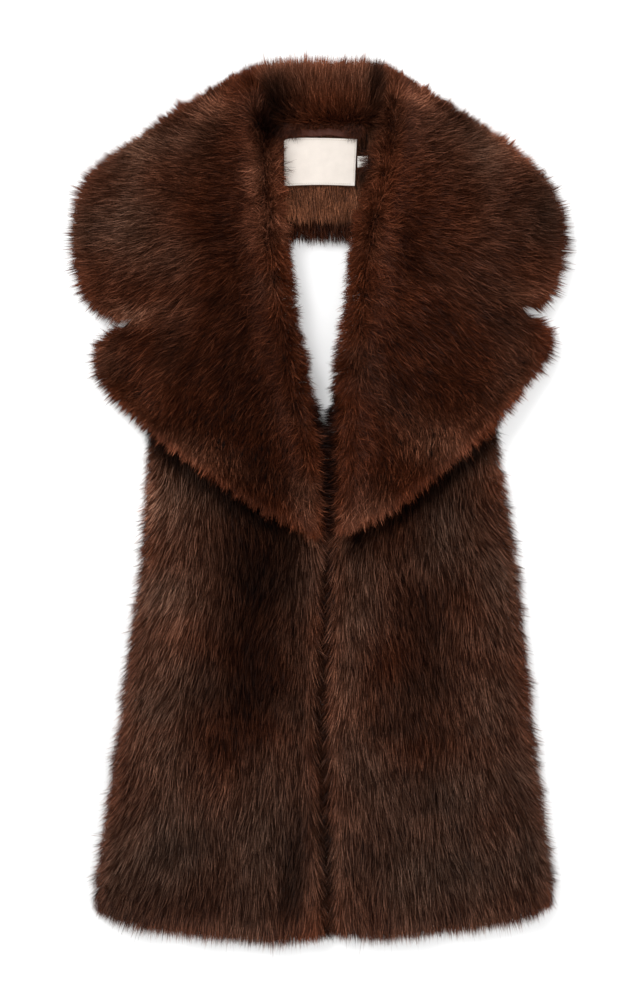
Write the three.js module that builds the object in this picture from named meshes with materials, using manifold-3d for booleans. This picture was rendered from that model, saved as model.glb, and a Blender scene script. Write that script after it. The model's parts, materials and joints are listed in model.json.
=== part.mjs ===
// Fur collar wrap, laid flat and face up: a sleeveless stole with a wide notched collar.
// Millimetres. X runs to the viewer's right, +Y toward the neck, +Z up from the surface it lies on.
// Left and right are the viewer's. Every solid reaches to the tips of its pile.

import * as THREE from "three";
import { mergeVertices } from "three/addons/utils/BufferGeometryUtils.js";
import Module from "manifold-3d";

const wasm = await Module();
wasm.setup();

// Driving sizes
const RIM = 3; // height of the pile's lowest edge, all round a piece
const PANEL_SIDE = 20; // how far a front panel's outer side rounds in
const PANEL_FRONT = 11; // how far it rounds in at centre front
const PANEL_HEM = 24;
const PANEL_UNDER = 16; // height of a front where the collar lies on it
const YOKE_HEIGHT = 10;
const FACING_HEIGHT = 3.2; // lighter, shorter pile on the yoke
const COLLAR_NOSE = 24; // how far the rolled fold rounds in
const COLLAR_SIDE = 20;
const SEAM_DIP = 5; // how far a seam pulls the pile in on each side
const SEAM_SHARE = 0.82; // share of the height that is left at a seam
const CLEARANCE = 0.35; // between a piece and what it lies on
const LABEL = { width: 62, height: 41, thick: 0.9, x: 1.7, y: 289 };
const TAG = { width: 9, height: 9.5, thick: 0.8, x: 37.6, y: 289 };
const LOOP = { width: 52, height: 6.4, thick: 1.2, x: 3.5, y: 313.2 };

// Sections from the hem up to the shoulder seam: inner end at centre front, outer end at the side,
// the height near each end, and how far the section bows down toward the hem.
const FRONT_LEFT = [
  { inner: [7, -365], outer: [-190, -345], innerHeight: 18, outerHeight: 18, bow: 14 },
  { inner: [7, -332], outer: [-189.5, -314], innerHeight: 24, outerHeight: 23, bow: 11 },
  { inner: [4, -258], outer: [-180.5, -253], innerHeight: 26, outerHeight: 25, bow: 4 },
  { inner: [2.5, -190], outer: [-172, -190], innerHeight: 27, outerHeight: 25, bow: 0 },
  { inner: [4, -120], outer: [-162.5, -120], innerHeight: 27, outerHeight: 24, bow: 0 },
  { inner: [6, -65], outer: [-154, -62], innerHeight: 26, outerHeight: 23, bow: 0 },
  { inner: [6.6, -32], outer: [-150.5, -24], innerHeight: 23, outerHeight: 22, bow: 0 },
  { inner: [-1, -6], outer: [-148, 12], innerHeight: 19, outerHeight: 21, bow: 0 },
  { inner: [-13, 45], outer: [-146, 55], innerHeight: 17, outerHeight: 18, bow: 0 },
  { inner: [-27, 120], outer: [-143, 120], innerHeight: PANEL_UNDER, outerHeight: 15, bow: 0 },
  { inner: [-45, 226], outer: [-130, 226], innerHeight: 14, outerHeight: 13, bow: 0 },
];
const FRONT_RIGHT = [
  { inner: [10, -363], outer: [199.5, -341], innerHeight: 18, outerHeight: 18, bow: 13 },
  { inner: [9, -330], outer: [200.5, -314], innerHeight: 24, outerHeight: 23, bow: 10 },
  { inner: [5.5, -257], outer: [191.5, -253], innerHeight: 26, outerHeight: 25, bow: 4 },
  { inner: [3.8, -190], outer: [184.5, -190], innerHeight: 27, outerHeight: 25, bow: 0 },
  { inner: [5.2, -120], outer: [177.5, -120], innerHeight: 27, outerHeight: 24, bow: 0 },
  { inner: [7.6, -65], outer: [171, -62], innerHeight: 26, outerHeight: 23, bow: 0 },
  { inner: [9, -32], outer: [165.5, -24], innerHeight: 23, outerHeight: 22, bow: 0 },
  { inner: [17, -6], outer: [160, 12], innerHeight: 19, outerHeight: 21, bow: 0 },
  { inner: [27, 45], outer: [155, 55], innerHeight: 17, outerHeight: 18, bow: 0 },
  { inner: [30, 120], outer: [150, 120], innerHeight: PANEL_UNDER, outerHeight: 15, bow: 0 },
  { inner: [45, 226], outer: [130, 226], innerHeight: 14, outerHeight: 13, bow: 0 },
];

// Sections of a collar lobe, from centre back down to the notch: inner end on the roll line.
const COLLAR_LEFT = [
  { inner: [-46, 367], outer: [-74, 360], innerHeight: 36, outerHeight: 30, bow: -3 },
  { inner: [-39.5, 348.5], outer: [-111, 341.5], innerHeight: 44, outerHeight: 28, bow: -3 },
  { inner: [-33.6, 326.4], outer: [-146, 317], innerHeight: 50, outerHeight: 27, bow: -2 },
  { inner: [-29.3, 303.4], outer: [-179, 295], innerHeight: 52, outerHeight: 26, bow: -1 },
  { inner: [-27.6, 280.5], outer: [-200.5, 272], innerHeight: 52, outerHeight: 25, bow: 0 },
  { inner: [-25.9, 256.7], outer: [-208.5, 243], innerHeight: 52, outerHeight: 25, bow: 0 },
  { inner: [-24.2, 235.4], outer: [-209, 207], innerHeight: 51, outerHeight: 25, bow: 2 },
  { inner: [-23.4, 219], outer: [-197, 170], innerHeight: 50, outerHeight: 24, bow: 4 },
  { inner: [-22.5, 205.7], outer: [-171, 151.6], innerHeight: 49, outerHeight: 25, bow: 2 },
];
const COLLAR_RIGHT = [
  { inner: [50, 367], outer: [76, 360], innerHeight: 36, outerHeight: 30, bow: -3 },
  { inner: [49, 348.5], outer: [108, 341.5], innerHeight: 44, outerHeight: 28, bow: -3 },
  { inner: [48, 326.4], outer: [145, 317.5], innerHeight: 50, outerHeight: 27, bow: -2 },
  { inner: [44.6, 303.4], outer: [176.5, 294.5], innerHeight: 52, outerHeight: 26, bow: -1 },
  { inner: [40.4, 280.5], outer: [197, 272], innerHeight: 52, outerHeight: 25, bow: 0 },
  { inner: [34.4, 256.7], outer: [209.5, 241], innerHeight: 52, outerHeight: 25, bow: 0 },
  { inner: [28.5, 235.4], outer: [209, 207], innerHeight: 51, outerHeight: 25, bow: 2 },
  { inner: [25.9, 219], outer: [200.5, 177], innerHeight: 50, outerHeight: 24, bow: 4 },
  { inner: [24.2, 206.6], outer: [186.5, 162.6], innerHeight: 49, outerHeight: 25, bow: 2 },
];

// Sections of a lapel, from the notch down to the break at centre front.
const LAPEL_LEFT = [
  { inner: [-22.3, 204.6], outer: [-171, 150.4], innerHeight: 49, outerHeight: 25, bow: 2 },
  { inner: [-15.5, 166], outer: [-189, 136], innerHeight: 48, outerHeight: 27, bow: 4 },
  { inner: [-9.8, 133.4], outer: [-190.5, 111], innerHeight: 47, outerHeight: 28, bow: 5 },
  { inner: [-3.7, 102], outer: [-174.5, 86], innerHeight: 46, outerHeight: 33, bow: 6 },
  { inner: [3, 74], outer: [-147, 60.5], innerHeight: 45, outerHeight: 37, bow: 7 },
  { inner: [6.8, 50], outer: [-112, 33.5], innerHeight: 44, outerHeight: 39, bow: 7 },
  { inner: [8, 26], outer: [-71, 5], innerHeight: 43, outerHeight: 40, bow: 6 },
  { inner: [8.2, 1.7], outer: [-30, -19], innerHeight: 41, outerHeight: 39, bow: 3 },
  { inner: [8, -31], outer: [-3, -34], innerHeight: 34, outerHeight: 34, bow: 0 },
];
const LAPEL_RIGHT = [
  { inner: [24, 205.5], outer: [186.5, 161.4], innerHeight: 49, outerHeight: 25, bow: 2 },
  { inner: [20, 171.7], outer: [200.5, 142], innerHeight: 48, outerHeight: 26, bow: 4 },
  { inner: [15.7, 143], outer: [193.5, 118.5], innerHeight: 47, outerHeight: 28, bow: 5 },
  { inner: [11.5, 116], outer: [175, 92.5], innerHeight: 46, outerHeight: 33, bow: 6 },
  { inner: [9.6, 88], outer: [153, 65], innerHeight: 45, outerHeight: 37, bow: 7 },
  { inner: [9.4, 60], outer: [117, 32], innerHeight: 44, outerHeight: 39, bow: 7 },
  { inner: [9.8, 33], outer: [75.5, 0], innerHeight: 43, outerHeight: 40, bow: 6 },
  { inner: [9.8, 4], outer: [42, -21], innerHeight: 41, outerHeight: 39, bow: 3 },
  { inner: [9.5, -28], outer: [20.5, -31], innerHeight: 34, outerHeight: 34, bow: 0 },
];

// Inner fur face of the collar at centre back, from its top edge down to the neck seam.
const COLLAR_BACK = [
  { inner: [-45, 371.5], outer: [49, 371.5], innerHeight: 30, outerHeight: 30, bow: -2.5 },
  { inner: [-42, 356], outer: [48.5, 356], innerHeight: 38, outerHeight: 38, bow: -2 },
  { inner: [-37, 337], outer: [47.5, 337], innerHeight: 34, outerHeight: 34, bow: 0 },
  { inner: [-32, 318], outer: [46, 318], innerHeight: 26, outerHeight: 26, bow: 0 },
];

// Back of the neck, from the collar seam down to the neck opening.
const BACK_YOKE = [
  { inner: [-122, 317], outer: [122, 317], innerHeight: YOKE_HEIGHT, outerHeight: YOKE_HEIGHT, bow: 0 },
  { inner: [-127, 284], outer: [127, 284], innerHeight: YOKE_HEIGHT, outerHeight: YOKE_HEIGHT, bow: 0 },
  { inner: [-129, 255], outer: [129, 255], innerHeight: YOKE_HEIGHT, outerHeight: YOKE_HEIGHT, bow: 0 },
  { inner: [-130, 226.5], outer: [130, 226.5], innerHeight: YOKE_HEIGHT, outerHeight: YOKE_HEIGHT, bow: 0 },
];

// Facing on the yoke: from the collar seam down, with its half widths at both ends.
const FACING_TOP = 316;
const FACING_BOTTOM = 243;
const FACING_HALF_TOP = 60;
const FACING_HALF_BOTTOM = 46;

// Soft troughs (negative) and ridges (positive) along a piece. along runs 0 to 1 down the table,
// across runs 0 to 1 from the inner end to the outer end, width and depth are in millimetres.
const FRONT_LEFT_FOLDS = [
  { along: [0.3, 0.8], across: [0.42, 0.3], width: 24, depth: -5 },
  { along: [0.1, 0.75], across: [0.72, 0.78], width: 22, depth: 2.5 },
  { along: [0.02, 0.3], across: [0.1, 0.07], width: 9, depth: 2.5 },
  { along: [0.02, 0.2], across: [0.22, 0.17], width: 13, depth: -4 },
  { along: [0.02, 0.22], across: [0.82, 0.68], width: 15, depth: -3.5 },
  { along: [0.12, 0.42], across: [0.55, 0.62], width: 14, depth: -2.5 },
];
const FRONT_RIGHT_FOLDS = [
  { along: [0.25, 0.7], across: [0.5, 0.44], width: 22, depth: -4.5 },
  { along: [0.3, 0.72], across: [0.14, 0.18], width: 17, depth: 2.5 },
  { along: [0.2, 0.8], across: [0.8, 0.78], width: 18, depth: 2.5 },
  { along: [0.02, 0.2], across: [0.2, 0.15], width: 12, depth: -3.5 },
  { along: [0.02, 0.24], across: [0.86, 0.74], width: 14, depth: -3 },
  { along: [0.05, 0.35], across: [0.4, 0.32], width: 13, depth: -2.5 },
];
const COLLAR_LEFT_FOLDS = [
  { along: [0.2, 0.95], across: [0.34, 0.3], width: 22, depth: -5 },
  { along: [0.35, 0.9], across: [0.62, 0.66], width: 22, depth: 2.5 },
  { along: [0.1, 0.45], across: [0.75, 0.6], width: 15, depth: -3 },
  { along: [0.55, 0.85], across: [0.9, 0.82], width: 13, depth: -2.5 },
];
const COLLAR_RIGHT_FOLDS = [
  { along: [0.2, 0.8], across: [0.38, 0.46], width: 20, depth: -4.5 },
  { along: [0.6, 0.95], across: [0.8, 0.74], width: 14, depth: -5 },
  { along: [0.3, 0.9], across: [0.62, 0.6], width: 20, depth: 2.5 },
  { along: [0.1, 0.4], across: [0.72, 0.6], width: 14, depth: -3 },
];
const LAPEL_LEFT_FOLDS = [
  { along: [0.05, 0.75], across: [0.34, 0.36], width: 22, depth: -5 },
  { along: [0.1, 0.45], across: [0.82, 0.78], width: 14, depth: -3 },
  { along: [0.15, 0.8], across: [0.62, 0.7], width: 18, depth: 2.5 },
];
const LAPEL_RIGHT_FOLDS = [
  { along: [0.05, 0.7], across: [0.5, 0.44], width: 24, depth: -5 },
  { along: [0.1, 0.4], across: [0.8, 0.86], width: 13, depth: -2.5 },
  { along: [0.15, 0.85], across: [0.74, 0.72], width: 16, depth: 2.5 },
];

// Locks of pile: a slow wave across the hair with a slower drift along it.
const LOCK_HEIGHT = 1.8;
function lockHeight(x, y) {
  const drift = 1.7 * Math.sin(y / 37 + x / 90);
  const first = Math.sin(x / 8.3 + drift) * Math.sin(y / 21 + 0.8 * Math.sin(x / 33));
  const second = Math.sin(x / 13.7 - y / 30 + 2.1);
  return LOCK_HEIGHT * (0.6 * first + 0.4 * second);
}

// Share of the full height at a distance in from an edge: a quarter circle of the given reach.
function rounding(distance, reach) {
  if (distance >= reach) return 1;
  const left = 1 - distance / reach;
  return Math.sqrt(1 - left * left);
}

// A fold's height at a place: a bell across the fold that fades at both of its ends.
function foldHeight(fold, along, across, span) {
  const share = (along - fold.along[0]) / (fold.along[1] - fold.along[0]);
  if (share <= 0 || share >= 1) return 0;
  const centre = THREE.MathUtils.lerp(fold.across[0], fold.across[1], share);
  const off = ((across - centre) * span) / fold.width;
  return fold.depth * Math.sin(Math.PI * share) * Math.exp(-off * off);
}

// A smooth curve through the table's rows, one row at each equal step of its parameter.
function curveOf(rows, pointOf) {
  return new THREE.CatmullRomCurve3(rows.map(pointOf), false, "catmullrom", 0.5);
}

// The upper surface of a piece as a function of its two parameters.
// ends: reach of the rounding at the first and last section, or null where a seam is.
// sides: the same at the inner and outer ends of each section.
function surfaceOf({ rows, sides, ends, folds = [], locks = 1, square = 4 }) {
  const inner = curveOf(rows, (r) => new THREE.Vector3(...r.inner, 0));
  const outer = curveOf(rows, (r) => new THREE.Vector3(...r.outer, 0));
  const sizes = curveOf(rows, (r) => new THREE.Vector3(r.innerHeight, r.outerHeight, r.bow));
  const lengths = inner.getLength() * 0.5 + outer.getLength() * 0.5;
  const edge = (distance, reach) =>
    reach === null ? SEAM_SHARE + (1 - SEAM_SHARE) * rounding(distance, SEAM_DIP) : rounding(distance, reach);
  return (along, across) => {
    const a = inner.getPoint(along);
    const b = outer.getPoint(along);
    const size = sizes.getPoint(along);
    const span = a.distanceTo(b);
    const bowed = size.z * (1 - Math.abs(2 * across - 1) ** square);
    const place = a.clone().lerp(b, across);
    place.y -= bowed;
    const full = THREE.MathUtils.lerp(size.x, size.y, THREE.MathUtils.smoothstep(across, 0, 1));
    const share =
      edge(across * span, sides[0]) *
      edge((1 - across) * span, sides[1]) *
      edge(along * lengths, ends[0]) *
      edge((1 - along) * lengths, ends[1]);
    const relief = folds.reduce((sum, f) => sum + foldHeight(f, along, across, span), 0);
    const body = Math.max(full - RIM, 0) + relief + locks * lockHeight(place.x, place.y);
    place.z = RIM + body * share;
    return place;
  };
}

// Parameter values from 0 to 1 that stand closer together near the ends that are rounded.
function steps(count, closeAtStart, closeAtEnd) {
  return Array.from({ length: count + 1 }, (_, i) => {
    const s = i / count;
    const pull = Math.sin(2 * Math.PI * s) / (2 * Math.PI);
    if (closeAtStart && closeAtEnd) return s - 0.8 * pull;
    if (closeAtStart) return s ** 1.5;
    if (closeAtEnd) return 1 - (1 - s) ** 1.5;
    return s;
  });
}

// A closed solid under a surface: its grid on top, an upright rim and one flat face below.
function solidUnder(surface, alongSteps, acrossSteps, floor = 0) {
  const rows = alongSteps.length;
  const columns = acrossSteps.length;
  const points = alongSteps.flatMap((v) => acrossSteps.map((u) => surface(v, u)));
  const at = (row, column) => row * columns + column;
  const faces = [];
  for (let r = 0; r + 1 < rows; r++) {
    for (let c = 0; c + 1 < columns; c++) {
      faces.push([at(r, c), at(r + 1, c), at(r + 1, c + 1)]);
      faces.push([at(r, c), at(r + 1, c + 1), at(r, c + 1)]);
    }
  }
  const border = [];
  for (let r = 0; r < rows; r++) border.push(at(r, 0));
  for (let c = 1; c < columns; c++) border.push(at(rows - 1, c));
  for (let r = rows - 2; r >= 0; r--) border.push(at(r, columns - 1));
  for (let c = columns - 2; c > 0; c--) border.push(at(0, c));
  const first = points.length;
  const outline = border.map((k) => new THREE.Vector2(points[k].x, points[k].y));
  outline.forEach((p) => points.push(new THREE.Vector3(p.x, p.y, floor)));
  border.forEach((k, i) => {
    const next = (i + 1) % border.length;
    faces.push([k, first + i, first + next], [k, first + next, border[next]]);
  });
  THREE.ShapeUtils.triangulateShape(outline, []).forEach(([a, b, c]) => {
    faces.push([first + a, first + b, first + c]);
  });
  return facingOut(points, faces, outline);
}

// Turns every face the same way, so that the upper surface faces up and the flat face down.
function facingOut(points, faces, outline) {
  const upper = faces[0];
  const ab = points[upper[1]].clone().sub(points[upper[0]]);
  const ac = points[upper[2]].clone().sub(points[upper[0]]);
  const gridTurned = ab.cross(ac).z < 0;
  const gridAndRim = faces.length - (outline.length - 2);
  return geometryOf(
    points,
    faces.map((face, i) => {
      if (i < gridAndRim) return gridTurned ? [...face].reverse() : face;
      return downward(points, face);
    }),
  );
}

function downward(points, face) {
  const ab = points[face[1]].clone().sub(points[face[0]]);
  const ac = points[face[2]].clone().sub(points[face[0]]);
  return ab.cross(ac).z > 0 ? [...face].reverse() : face;
}

function geometryOf(points, faces) {
  const geometry = new THREE.BufferGeometry().setFromPoints(points);
  geometry.setIndex(faces.flat());
  return mergeVertices(geometry, 1e-4);
}

// The same shape with every point moved out along its normal.
function grown(geometry, distance) {
  const wider = geometry.clone();
  wider.computeVertexNormals();
  const { position, normal } = wider.attributes;
  for (let i = 0; i < position.count; i++) {
    position.setXYZ(
      i,
      position.getX(i) + distance * normal.getX(i),
      position.getY(i) + distance * normal.getY(i),
      position.getZ(i) + distance * normal.getZ(i),
    );
  }
  wider.deleteAttribute("normal");
  return wider;
}

function manifoldOf(geometry) {
  return new wasm.Manifold(
    new wasm.Mesh({
      numProp: 3,
      vertProperties: new Float32Array(geometry.attributes.position.array),
      triVerts: new Uint32Array(geometry.index.array),
    }),
  );
}

// A piece without the room that the pieces under it take up; only its main body is kept.
function lyingOn(geometry, below) {
  let solid = manifoldOf(geometry);
  below.forEach((under) => {
    solid = solid.subtract(manifoldOf(grown(under, CLEARANCE)));
  });
  const bodies = solid.decompose().sort((a, b) => b.volume() - a.volume());
  const mesh = bodies[0].getMesh();
  const cut = new THREE.BufferGeometry();
  cut.setAttribute("position", new THREE.BufferAttribute(new Float32Array(mesh.vertProperties), 3));
  cut.setIndex(new THREE.BufferAttribute(new Uint32Array(mesh.triVerts), 1));
  return cut;
}

// Materials
const chestnut = { color: 0x4a2c20, roughness: 0.9, metalness: 0 };
const ash = { color: 0x54392c, roughness: 0.9, metalness: 0 };
const inside = { color: 0x6b4a3a, roughness: 0.9, metalness: 0 };
const trim = { color: 0x7d5648, roughness: 0.8, metalness: 0 };
const cream = { color: 0xf2ece4, roughness: 0.7, metalness: 0 };

const wrap = new THREE.Group();
wrap.name = "fur_collar_wrap";

function add(name, geometry, look) {
  const mesh = new THREE.Mesh(geometry, new THREE.MeshStandardMaterial(look));
  mesh.name = name;
  mesh.geometry.computeVertexNormals();
  wrap.add(mesh);
  return mesh;
}

// Front panels
function frontPanel(rows, folds) {
  const surface = surfaceOf({ rows, folds, sides: [PANEL_FRONT, PANEL_SIDE], ends: [PANEL_HEM, null] });
  return solidUnder(surface, steps(38, true, false), steps(16, true, true));
}
const frontLeft = frontPanel(FRONT_LEFT, FRONT_LEFT_FOLDS);
const frontRight = frontPanel(FRONT_RIGHT, FRONT_RIGHT_FOLDS);

// Back yoke
const yokeSurface = surfaceOf({ rows: BACK_YOKE, sides: [8, 8], ends: [null, 7], locks: 0 });
const backYoke = solidUnder(yokeSurface, steps(6, false, true), steps(12, true, true));

// Facing, which lies on the yoke and rises a little at its edges into the pile
function facingPlace(x, y) {
  const share = (FACING_TOP - y) / (FACING_TOP - FACING_BOTTOM);
  const low = Math.min(1, Math.max(0, (share - 0.9) / 0.1));
  const crown = FACING_HEIGHT * Math.sqrt(1 - 0.7 * low * low);
  return new THREE.Vector3(x, y, YOKE_HEIGHT + CLEARANCE + crown);
}
function facingHalf(along) {
  return THREE.MathUtils.lerp(FACING_HALF_TOP, FACING_HALF_BOTTOM, along);
}
const facingSurface = (along, across) =>
  facingPlace(
    THREE.MathUtils.lerp(-1, 1, across) * facingHalf(along),
    THREE.MathUtils.lerp(FACING_TOP, FACING_BOTTOM, along),
  );
const backFacing = solidUnder(facingSurface, steps(8, false, true), steps(8, false, false), YOKE_HEIGHT + CLEARANCE);

// Label, size tag and hanging loop: sheets made from the facing's points, moved out
function onFacing({ x, y, width, height, thick }, columns, rows) {
  const lift = YOKE_HEIGHT + FACING_HEIGHT + 2 * CLEARANCE;
  const surface = (along, across) => {
    const place = facingPlace(x + width * (across - 0.5), y + height * (0.5 - along));
    place.z = lift + thick;
    return place;
  };
  return solidUnder(surface, steps(rows, false, false), steps(columns, false, false), lift);
}
const label = onFacing(LABEL, 6, 4);
const sizeTag = onFacing(TAG, 2, 2);
const hangingLoop = onFacing(LOOP, 6, 1);

// Collar at centre back
const standSurface = surfaceOf({ rows: COLLAR_BACK, sides: [16, 16], ends: [18, 9] });
const collarBack = solidUnder(standSurface, steps(8, true, true), steps(12, true, true));

// Collar lobes and lapels, cut to lie on what is under them
const neckPieces = [backYoke, backFacing, hangingLoop, label, sizeTag];
function collarLobe(rows, folds, below) {
  const surface = surfaceOf({ rows, folds, sides: [COLLAR_NOSE, COLLAR_SIDE], ends: [18, null] });
  return lyingOn(solidUnder(surface, steps(22, true, false), steps(16, true, true)), below);
}
function lapel(rows, folds, below) {
  const surface = surfaceOf({ rows, folds, sides: [COLLAR_NOSE, COLLAR_SIDE], ends: [null, 14] });
  return lyingOn(solidUnder(surface, steps(20, false, true), steps(15, true, true)), below);
}

add("front_left", frontLeft, ash);
add("front_right", frontRight, ash);
add("back_yoke", backYoke, chestnut);
add("back_facing", backFacing, inside);
add("hanging_loop", hangingLoop, trim);
add("label", label, cream);
add("size_tag", sizeTag, cream);
add("collar_back", collarBack, chestnut);
add("collar_left", collarLobe(COLLAR_LEFT, COLLAR_LEFT_FOLDS, [...neckPieces, frontLeft, collarBack]), ash);
add("collar_right", collarLobe(COLLAR_RIGHT, COLLAR_RIGHT_FOLDS, [...neckPieces, frontRight, collarBack]), ash);
add("lapel_left", lapel(LAPEL_LEFT, LAPEL_LEFT_FOLDS, [frontLeft, frontRight]), chestnut);
add("lapel_right", lapel(LAPEL_RIGHT, LAPEL_RIGHT_FOLDS, [frontLeft, frontRight]), chestnut);

export default wrap;
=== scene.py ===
"""Looks of a fur collar wrap laid flat: backing shells, long pile, facing, label, tag and hanging loop.

Every form is a function of along (0 to 1 down a table of sections) and across (0 at a section's inner end to 1
at its outer end). The tables are in millimetres, and the meshes in metres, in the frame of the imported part.
"""

import json
import math

import bpy
import numpy as np
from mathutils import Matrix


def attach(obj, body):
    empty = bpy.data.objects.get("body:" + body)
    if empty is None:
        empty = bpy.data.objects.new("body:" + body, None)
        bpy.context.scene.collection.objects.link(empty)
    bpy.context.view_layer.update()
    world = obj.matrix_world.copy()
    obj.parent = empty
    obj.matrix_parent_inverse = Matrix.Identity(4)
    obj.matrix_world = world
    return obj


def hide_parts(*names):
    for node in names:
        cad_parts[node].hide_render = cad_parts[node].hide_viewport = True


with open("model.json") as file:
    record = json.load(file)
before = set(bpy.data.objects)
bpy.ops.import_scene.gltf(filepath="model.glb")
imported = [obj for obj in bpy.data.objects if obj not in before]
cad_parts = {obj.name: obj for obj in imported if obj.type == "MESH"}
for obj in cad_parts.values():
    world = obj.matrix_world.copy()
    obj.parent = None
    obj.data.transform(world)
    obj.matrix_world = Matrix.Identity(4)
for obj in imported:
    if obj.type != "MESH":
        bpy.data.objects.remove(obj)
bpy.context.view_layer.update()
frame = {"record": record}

MM = 0.001
SEED = 41
BODY = "root"

# Sizes of the pile and the cloth, in millimetres
RIM = 3.0
PANEL_SIDE = 20.0
PANEL_FRONT = 11.0
PANEL_HEM = 24.0
COLLAR_NOSE = 24.0
COLLAR_SIDE = 20.0
PILE = 14.0
SHRINK_NEAR_EDGE = 0.7
LOCK_HEIGHT = 1.8
LOCK = 5.0
LOCK_PULL = 0.14
EDGE_PULL = 0.5
EDGE_REACH = 22.0
EDGE_WIDTH = 0.35
OVERHANG = 8.5
CROSSING = 8.0
TUFT = 3.5
STANDING_SHARE = 0.25
SINGLE_SHARE, SINGLE_LENGTH = 0.015, 1.45
ROLL_REACH, ROLL_TOP, ROLL_SHALLOWER = 62.0, 15.0, 0.45
SHADOW_REACH = 19.0
WALL = 1.2
LOWEST = 0.5
LAYER_GAP = 2.0
LABEL_SIZE, LABEL_PLACE, LABEL_THICK = (62.0, 41.0), (1.7, 289.0), 0.6
STITCH_INSET, STITCH_PITCH, STITCH_SIZE = 1.6, 1.9, (1.25, 0.3, 0.12)
TAG_SIZE, TAG_PLACE, TAG_CUT = (9.0, 9.5), (37.6, 289.0), (10.0, 10.0)
LOOP_SIZE, LOOP_PLACE = (52.0, 6.4), (3.5, 313.2)
LAID_AT = 13.9

# Counts and steps of the working-out
STEP = 2e-3
BATCH = 200_000
HAIR_POINTS = 4

# Studio, in metres and millimetres of lens
FLOOR_HALF = 4.0
CAMERA_LENS = 100.0
CAMERA_HEIGHT = 2.375
CAMERA_X, CAMERA_Y = -0.0055, 0.0017

# Columns of every table of sections: the inner end, the outer end, the height near each, and the bow
INNER, OUTER, INNER_HEIGHT, OUTER_HEIGHT, BOW = slice(0, 2), slice(2, 4), 4, 5, 6

FRONT_LEFT = (
    (7, -365, -190, -345, 18, 18, 14),
    (7, -332, -189.5, -314, 24, 23, 11),
    (4, -258, -180.5, -253, 26, 25, 4),
    (2.5, -190, -172, -190, 27, 25, 0),
    (4, -120, -162.5, -120, 27, 24, 0),
    (6, -65, -154, -62, 26, 23, 0),
    (6.6, -32, -150.5, -24, 23, 22, 0),
    (-1, -6, -148, 12, 19, 21, 0),
    (-13, 45, -146, 55, 17, 18, 0),
    (-27, 120, -143, 120, 16, 15, 0),
    (-45, 226, -130, 226, 14, 13, 0),
)
FRONT_RIGHT = (
    (10, -363, 199.5, -341, 18, 18, 13),
    (9, -330, 200.5, -314, 24, 23, 10),
    (5.5, -257, 191.5, -253, 26, 25, 4),
    (3.8, -190, 184.5, -190, 27, 25, 0),
    (5.2, -120, 177.5, -120, 27, 24, 0),
    (7.6, -65, 171, -62, 26, 23, 0),
    (9, -32, 165.5, -24, 23, 22, 0),
    (17, -6, 160, 12, 19, 21, 0),
    (27, 45, 155, 55, 17, 18, 0),
    (30, 120, 150, 120, 16, 15, 0),
    (45, 226, 130, 226, 14, 13, 0),
)
COLLAR_LEFT = (
    (-46, 367, -74, 360, 36, 30, -3),
    (-39.5, 348.5, -111, 341.5, 44, 28, -3),
    (-33.6, 326.4, -146, 317, 50, 27, -2),
    (-29.3, 303.4, -179, 295, 52, 26, -1),
    (-27.6, 280.5, -200.5, 272, 52, 25, 0),
    (-25.9, 256.7, -208.5, 243, 52, 25, 0),
    (-24.2, 235.4, -209, 207, 51, 25, 2),
    (-23.4, 219, -197, 170, 50, 24, 4),
    (-22.5, 205.7, -171, 151.6, 49, 25, 2),
)
COLLAR_RIGHT = (
    (50, 367, 76, 360, 36, 30, -3),
    (49, 348.5, 108, 341.5, 44, 28, -3),
    (48, 326.4, 145, 317.5, 50, 27, -2),
    (44.6, 303.4, 176.5, 294.5, 52, 26, -1),
    (40.4, 280.5, 197, 272, 52, 25, 0),
    (34.4, 256.7, 209.5, 241, 52, 25, 0),
    (28.5, 235.4, 209, 207, 51, 25, 2),
    (25.9, 219, 200.5, 177, 50, 24, 4),
    (24.2, 206.6, 186.5, 162.6, 49, 25, 2),
)
LAPEL_LEFT = (
    (-23.3, 215, -171, 152, 49, 25, 2),
    (-15.5, 166, -189, 136, 48, 27, 4),
    (-9.8, 133.4, -190.5, 111, 47, 28, 5),
    (-3.7, 102, -174.5, 86, 46, 33, 6),
    (3, 74, -147, 60.5, 45, 37, 7),
    (6.8, 50, -112, 33.5, 44, 39, 7),
    (8, 26, -71, 5, 43, 40, 6),
    (8.2, 1.7, -30, -19, 41, 39, 3),
    (8, -31, -3, -34, 34, 34, 0),
)
LAPEL_RIGHT = (
    (25.4, 216, 186.5, 163, 49, 25, 2),
    (20, 171.7, 200.5, 142, 48, 26, 4),
    (15.7, 143, 193.5, 118.5, 47, 28, 5),
    (11.5, 116, 175, 92.5, 46, 33, 6),
    (9.6, 88, 153, 65, 45, 37, 7),
    (9.4, 60, 117, 32, 44, 39, 7),
    (9.8, 33, 75.5, 0, 43, 40, 6),
    (9.8, 4, 42, -21, 41, 39, 3),
    (9.5, -28, 20.5, -31, 34, 34, 0),
)
COLLAR_BACK = (
    (-49, 368, 55, 369, 30, 30, -4),
    (-56, 354, 62, 355, 38, 38, -2),
    (-53, 337, 62, 337, 34, 34, 0),
    (-48, 316, 60, 316, 26, 26, 0),
)
BACK_YOKE = (
    (-60, 262, 60, 262, 10, 10, 0),
    (-60, 244, 60, 244, 10, 10, 0),
    (-60, 226.5, 60, 226.5, 10, 10, 0),
)
BACK_FACING = (
    (-60, 330, 60, 330, 13.5, 13.5, 0),
    (-58, 314, 58, 314, 13.5, 13.5, 0),
    (-53, 292, 53, 292, 13.5, 13.5, 0),
    (-48, 268, 48, 268, 13.5, 13.5, 0),
    (-46, 243, 46, 243, 13.5, 13.5, 0),
)

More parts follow.
